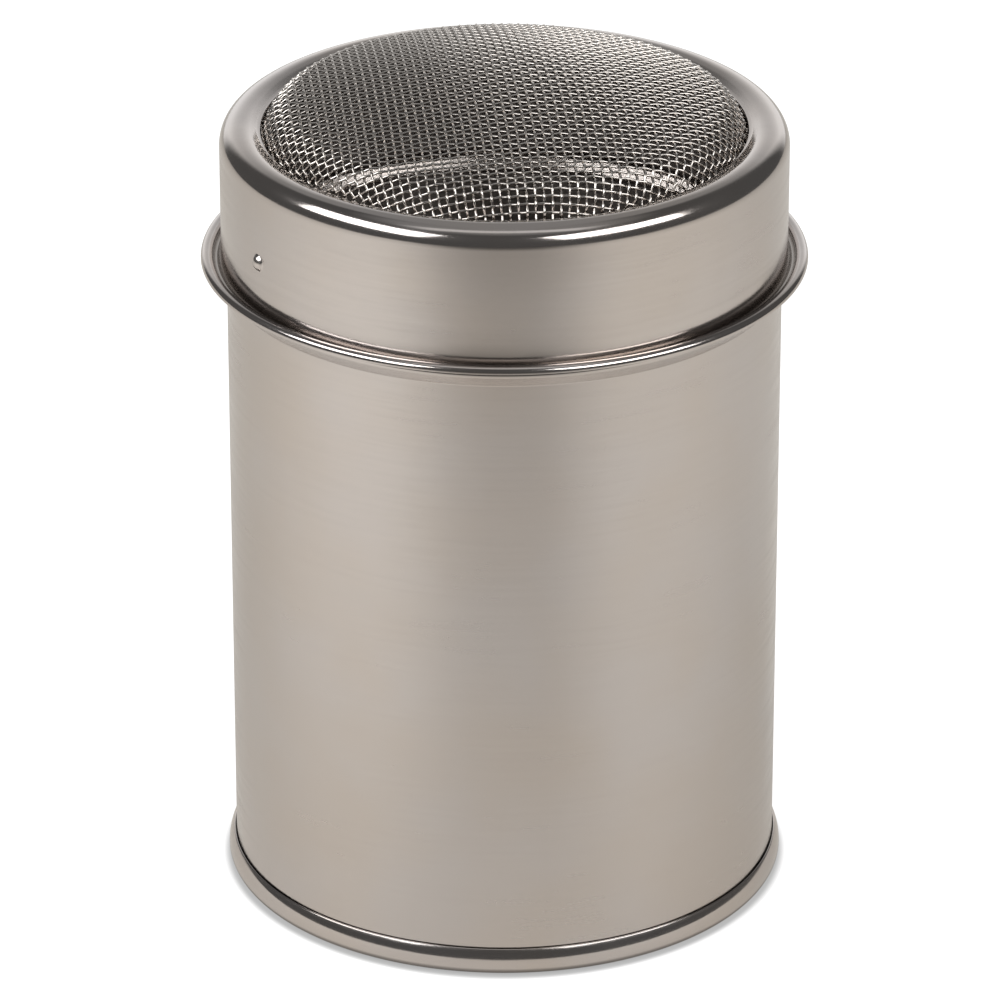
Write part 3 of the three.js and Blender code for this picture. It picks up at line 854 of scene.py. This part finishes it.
def studio_world():
    """White to the camera; the steel sees a dim room with a bright backdrop behind the shaker."""
    world = bpy.data.worlds.new("studio")
    bpy.context.scene.world = world
    world.use_nodes = True
    tree = world.node_tree
    tree.nodes.clear()
    path = add_node(tree, "ShaderNodeLightPath")
    way = add_node(tree, "ShaderNodeTexCoord").outputs["Generated"]
    parts = add_node(tree, "ShaderNodeSeparateXYZ", {0: way})
    height = parts.outputs["Z"]
    room = add_node(tree, "ShaderNodeMapRange", {"Value": height, **ROOM_RISE})
    backdrop = add_node(tree, "ShaderNodeMapRange", {"Value": height, **BACKDROP_RISE})
    behind = sector(tree, parts.outputs["X"], parts.outputs["Y"], *BACKDROP_SECTOR)
    level = add_node(tree, "ShaderNodeMix", {"Factor": behind, "A": room.outputs[0], "B": backdrop.outputs[0]})
    overhead = add_node(tree, "ShaderNodeMath", {0: height, 1: 0}, operation="GREATER_THAN")
    tilt = math.radians(OVERHEAD_TILT)
    for axis, (full, gone) in (
        ((1, 0, 0), OVERHEAD_WIDTH),
        ((0, -math.cos(tilt), -math.sin(tilt)), OVERHEAD_DEPTH),
    ):
        off = add_node(tree, "ShaderNodeVectorMath", {0: way, 1: axis}, operation="DOT_PRODUCT")
        off = add_node(tree, "ShaderNodeMath", {0: off.outputs["Value"]}, operation="ABSOLUTE")
        limits = {"From Min": math.sin(math.radians(full)), "From Max": math.sin(math.radians(gone))}
        within = add_node(
            tree,
            "ShaderNodeMapRange",
            {"Value": off.outputs[0], **limits, "To Min": 1, "To Max": 0},
            interpolation_type="SMOOTHSTEP",
        )
        overhead = add_node(
            tree, "ShaderNodeMath", {0: overhead.outputs[0], 1: within.outputs[0]}, operation="MULTIPLY"
        )
    level = add_node(
        tree, "ShaderNodeMix", {"Factor": overhead.outputs[0], "A": level.outputs[0], "B": OVERHEAD_LEVEL}
    )
    gloss = seen_in_gloss(tree, path)
    lit = add_node(tree, "ShaderNodeMix", {"Factor": gloss, "A": AMBIENT_LEVEL, "B": level.outputs[0]})
    strength = add_node(
        tree, "ShaderNodeMix", {"Factor": path.outputs["Is Camera Ray"], "A": lit.outputs[0], "B": 1.0}
    )
    sky = add_node(tree, "ShaderNodeBackground", {"Color": (1, 1, 1, 1), "Strength": strength.outputs[0]})
    add_node(tree, "ShaderNodeOutputWorld", {"Surface": sky.outputs[0]})


SOFTBOX_RADIANCE = 5
SOFTBOX_AIM_HEIGHT = 0.09
# Each softbox by its turn from the front, rise, width and height, all in degrees as the shaker sees them
SOFTBOXES = {"softbox_left": (-64, 39, 50, 22), "softbox_right": (52, 40, 48, 20)}
FLOOR_SIDES = 96
# Width of the camera's sensor in millimetres, to which the lens belongs
SENSOR_WIDTH = 36


class SHAKER_OT_stage(bpy.types.Operator):
    """Lays out the paper floor, the softboxes, the room and the camera"""

    bl_idname = "shaker.stage"
    bl_label = "Studio"

    def execute(self, context):
        stage = context.scene.shaker_stage
        body = bmesh.new()
        bmesh.ops.create_circle(body, cap_ends=True, segments=FLOOR_SIDES, radius=stage.floor_radius)
        mesh = bpy.data.meshes.new("paper_floor")
        body.to_mesh(mesh)
        body.free()
        floor = bpy.data.objects.new("paper_floor", mesh)
        floor.location.z = -stage.floor_drop
        context.scene.collection.objects.link(floor)
        mesh.materials.append(white_paper())
        for name, angles in SOFTBOXES.items():
            turn, rise, width, height = (math.radians(a) for a in angles)
            way = Vector((math.sin(turn) * math.cos(rise), -math.cos(turn) * math.cos(rise), math.sin(rise)))
            lamp = bpy.data.lights.new(name, "AREA")
            lamp.shape = "RECTANGLE"
            lamp.size = 2 * stage.box_distance * math.tan(width / 2)
            lamp.size_y = 2 * stage.box_distance * math.tan(height / 2)
            lamp.energy = SOFTBOX_RADIANCE * math.pi * lamp.size * lamp.size_y
            box = bpy.data.objects.new(name, lamp)
            box.location = way * stage.box_distance + Vector((0, 0, SOFTBOX_AIM_HEIGHT))
            box.rotation_euler = (-way).to_track_quat("-Z", "Y").to_euler()
            context.scene.collection.objects.link(box)
        studio_world()
        lens = bpy.data.cameras.new("camera")
        lens.lens = stage.focal
        lens.sensor_width = SENSOR_WIDTH
        camera = bpy.data.objects.new("camera", lens)
        camera.location = (0, -stage.camera_back, stage.camera_height)
        aim = Vector((-stage.aim_left, stage.aim_behind, stage.aim_height))
        camera.rotation_euler = (aim - camera.location).to_track_quat("-Z", "Y").to_euler()
        context.scene.collection.objects.link(camera)
        context.scene.camera = camera
        context.scene.view_settings.view_transform = "Standard"
        return {"FINISHED"}


PIECES = (
    SHAKER_OT_can_wall,
    SHAKER_OT_base_pan,
    SHAKER_OT_lid_shell,
    SHAKER_OT_sieve,
    SHAKER_OT_clamp_ring,
    SHAKER_OT_stage,
)
SETTINGS = {
    "shaker_can": CanSizes,
    "shaker_lid": LidSizes,
    "shaker_sieve": SieveSizes,
    "shaker_finishes": Finishes,
    "shaker_stage": StageSizes,
}


class SHAKER_PT_sidebar(bpy.types.Panel):
    """Lists the shaker's pieces"""

    bl_idname = "SHAKER_PT_sidebar"
    bl_label = "Spice shaker"
    bl_space_type = "VIEW_3D"
    bl_region_type = "UI"
    bl_category = "Shaker"

    def draw(self, context):
        for piece in PIECES:
            self.layout.operator(piece.bl_idname)


def register():
    for group in (*SETTINGS.values(), *PIECES, SHAKER_PT_sidebar):
        bpy.utils.register_class(group)
    for name, group in SETTINGS.items():
        setattr(bpy.types.Scene, name, PointerProperty(type=group))


def unregister():
    for name in SETTINGS:
        delattr(bpy.types.Scene, name)
    for group in reversed((*SETTINGS.values(), *PIECES, SHAKER_PT_sidebar)):
        bpy.utils.unregister_class(group)


def main():
    register()
    for piece in PIECES:
        area, call = piece.bl_idname.split(".")
        getattr(getattr(bpy.ops, area), call)()


if __name__ == "__main__":
    main()
